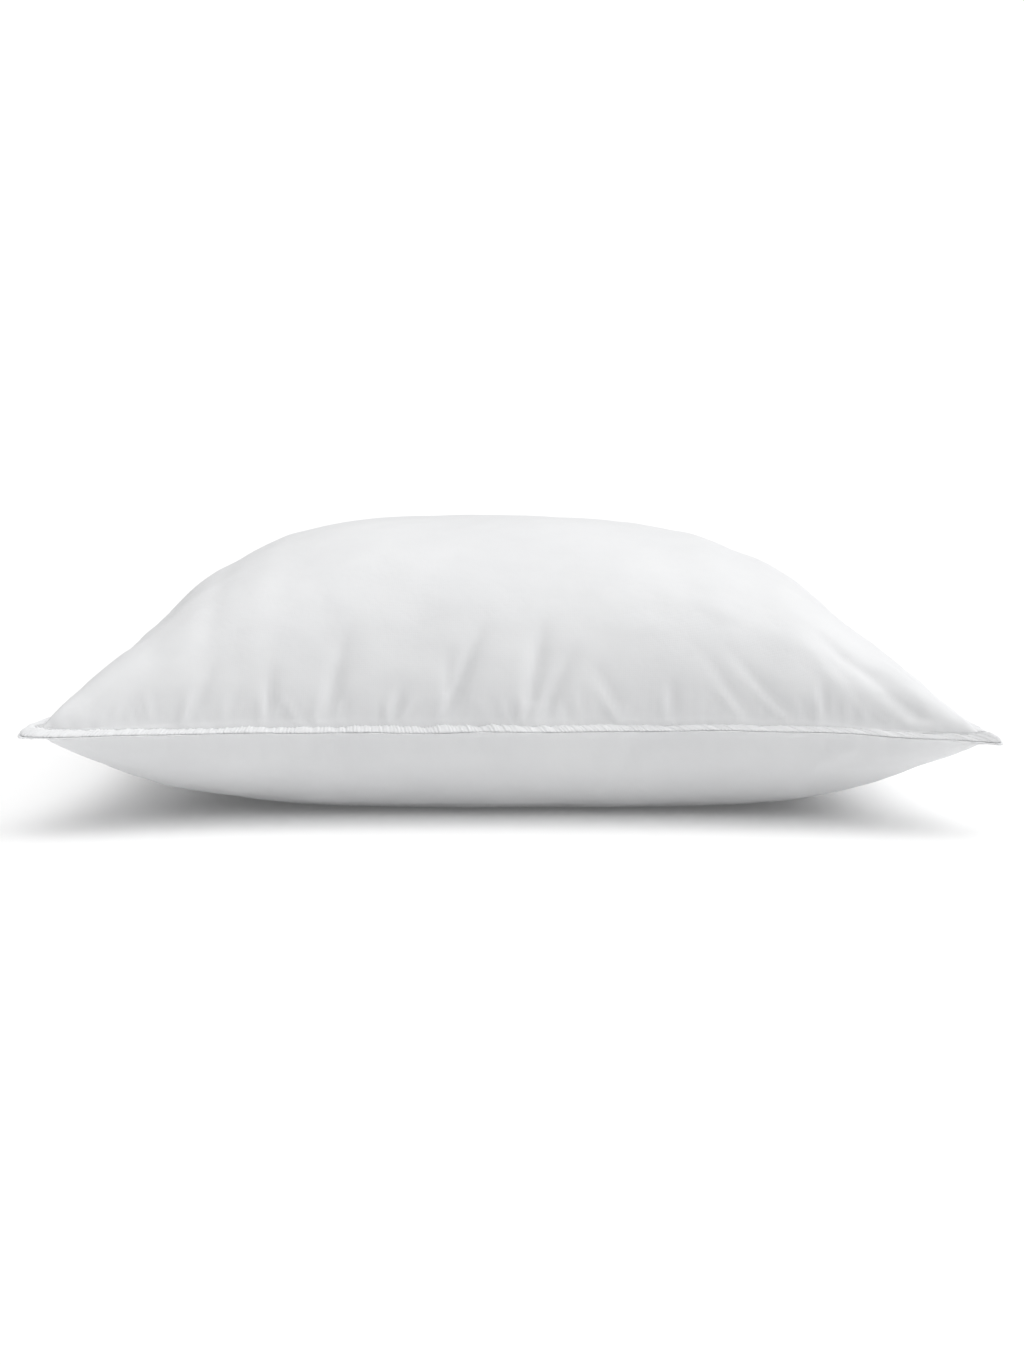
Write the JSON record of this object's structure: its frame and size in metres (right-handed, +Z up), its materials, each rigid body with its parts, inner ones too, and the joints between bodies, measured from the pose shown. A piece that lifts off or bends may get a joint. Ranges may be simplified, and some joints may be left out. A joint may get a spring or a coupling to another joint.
{
  "type": "bed pillow",
  "caption": "Filled bed pillow with a knife-edge woven cover, a topstitched self-fabric flange and loose fibre fill, lying flat.",
  "frame": {"origin": "centre of the pillow's outline, on the surface that it rests on", "axes": "+X along the pillow's length, +Y across it from the front edge to the back edge with the closed filling gap, +Z up out of the bed"},
  "size_m": [0.64, 0.4914, 0.1994],
  "materials": {
    "cover_cotton": "white cotton percale, plain weave, soft matt with a faint sheen",
    "fill_fibre": "loose white fibre, matt and fluffy",
    "sewing_thread": "white twisted polyester sewing thread",
    "label_tape": "blank white woven satin tape"
  },
  "bodies": {
    "root": {"upper_cover_panel": "cover_cotton", "lower_cover_panel": "cover_cotton", "fibre_fill": "fill_fibre", "edge_seam_needle_thread": "sewing_thread", "edge_seam_bobbin_thread": "sewing_thread", "overlock_thread": "sewing_thread", "topstitch_needle_thread": "sewing_thread", "topstitch_bobbin_thread": "sewing_thread", "closing_needle_thread": "sewing_thread", "closing_bobbin_thread": "sewing_thread", "care_label": "label_tape"}
  },
  "joints": []
}
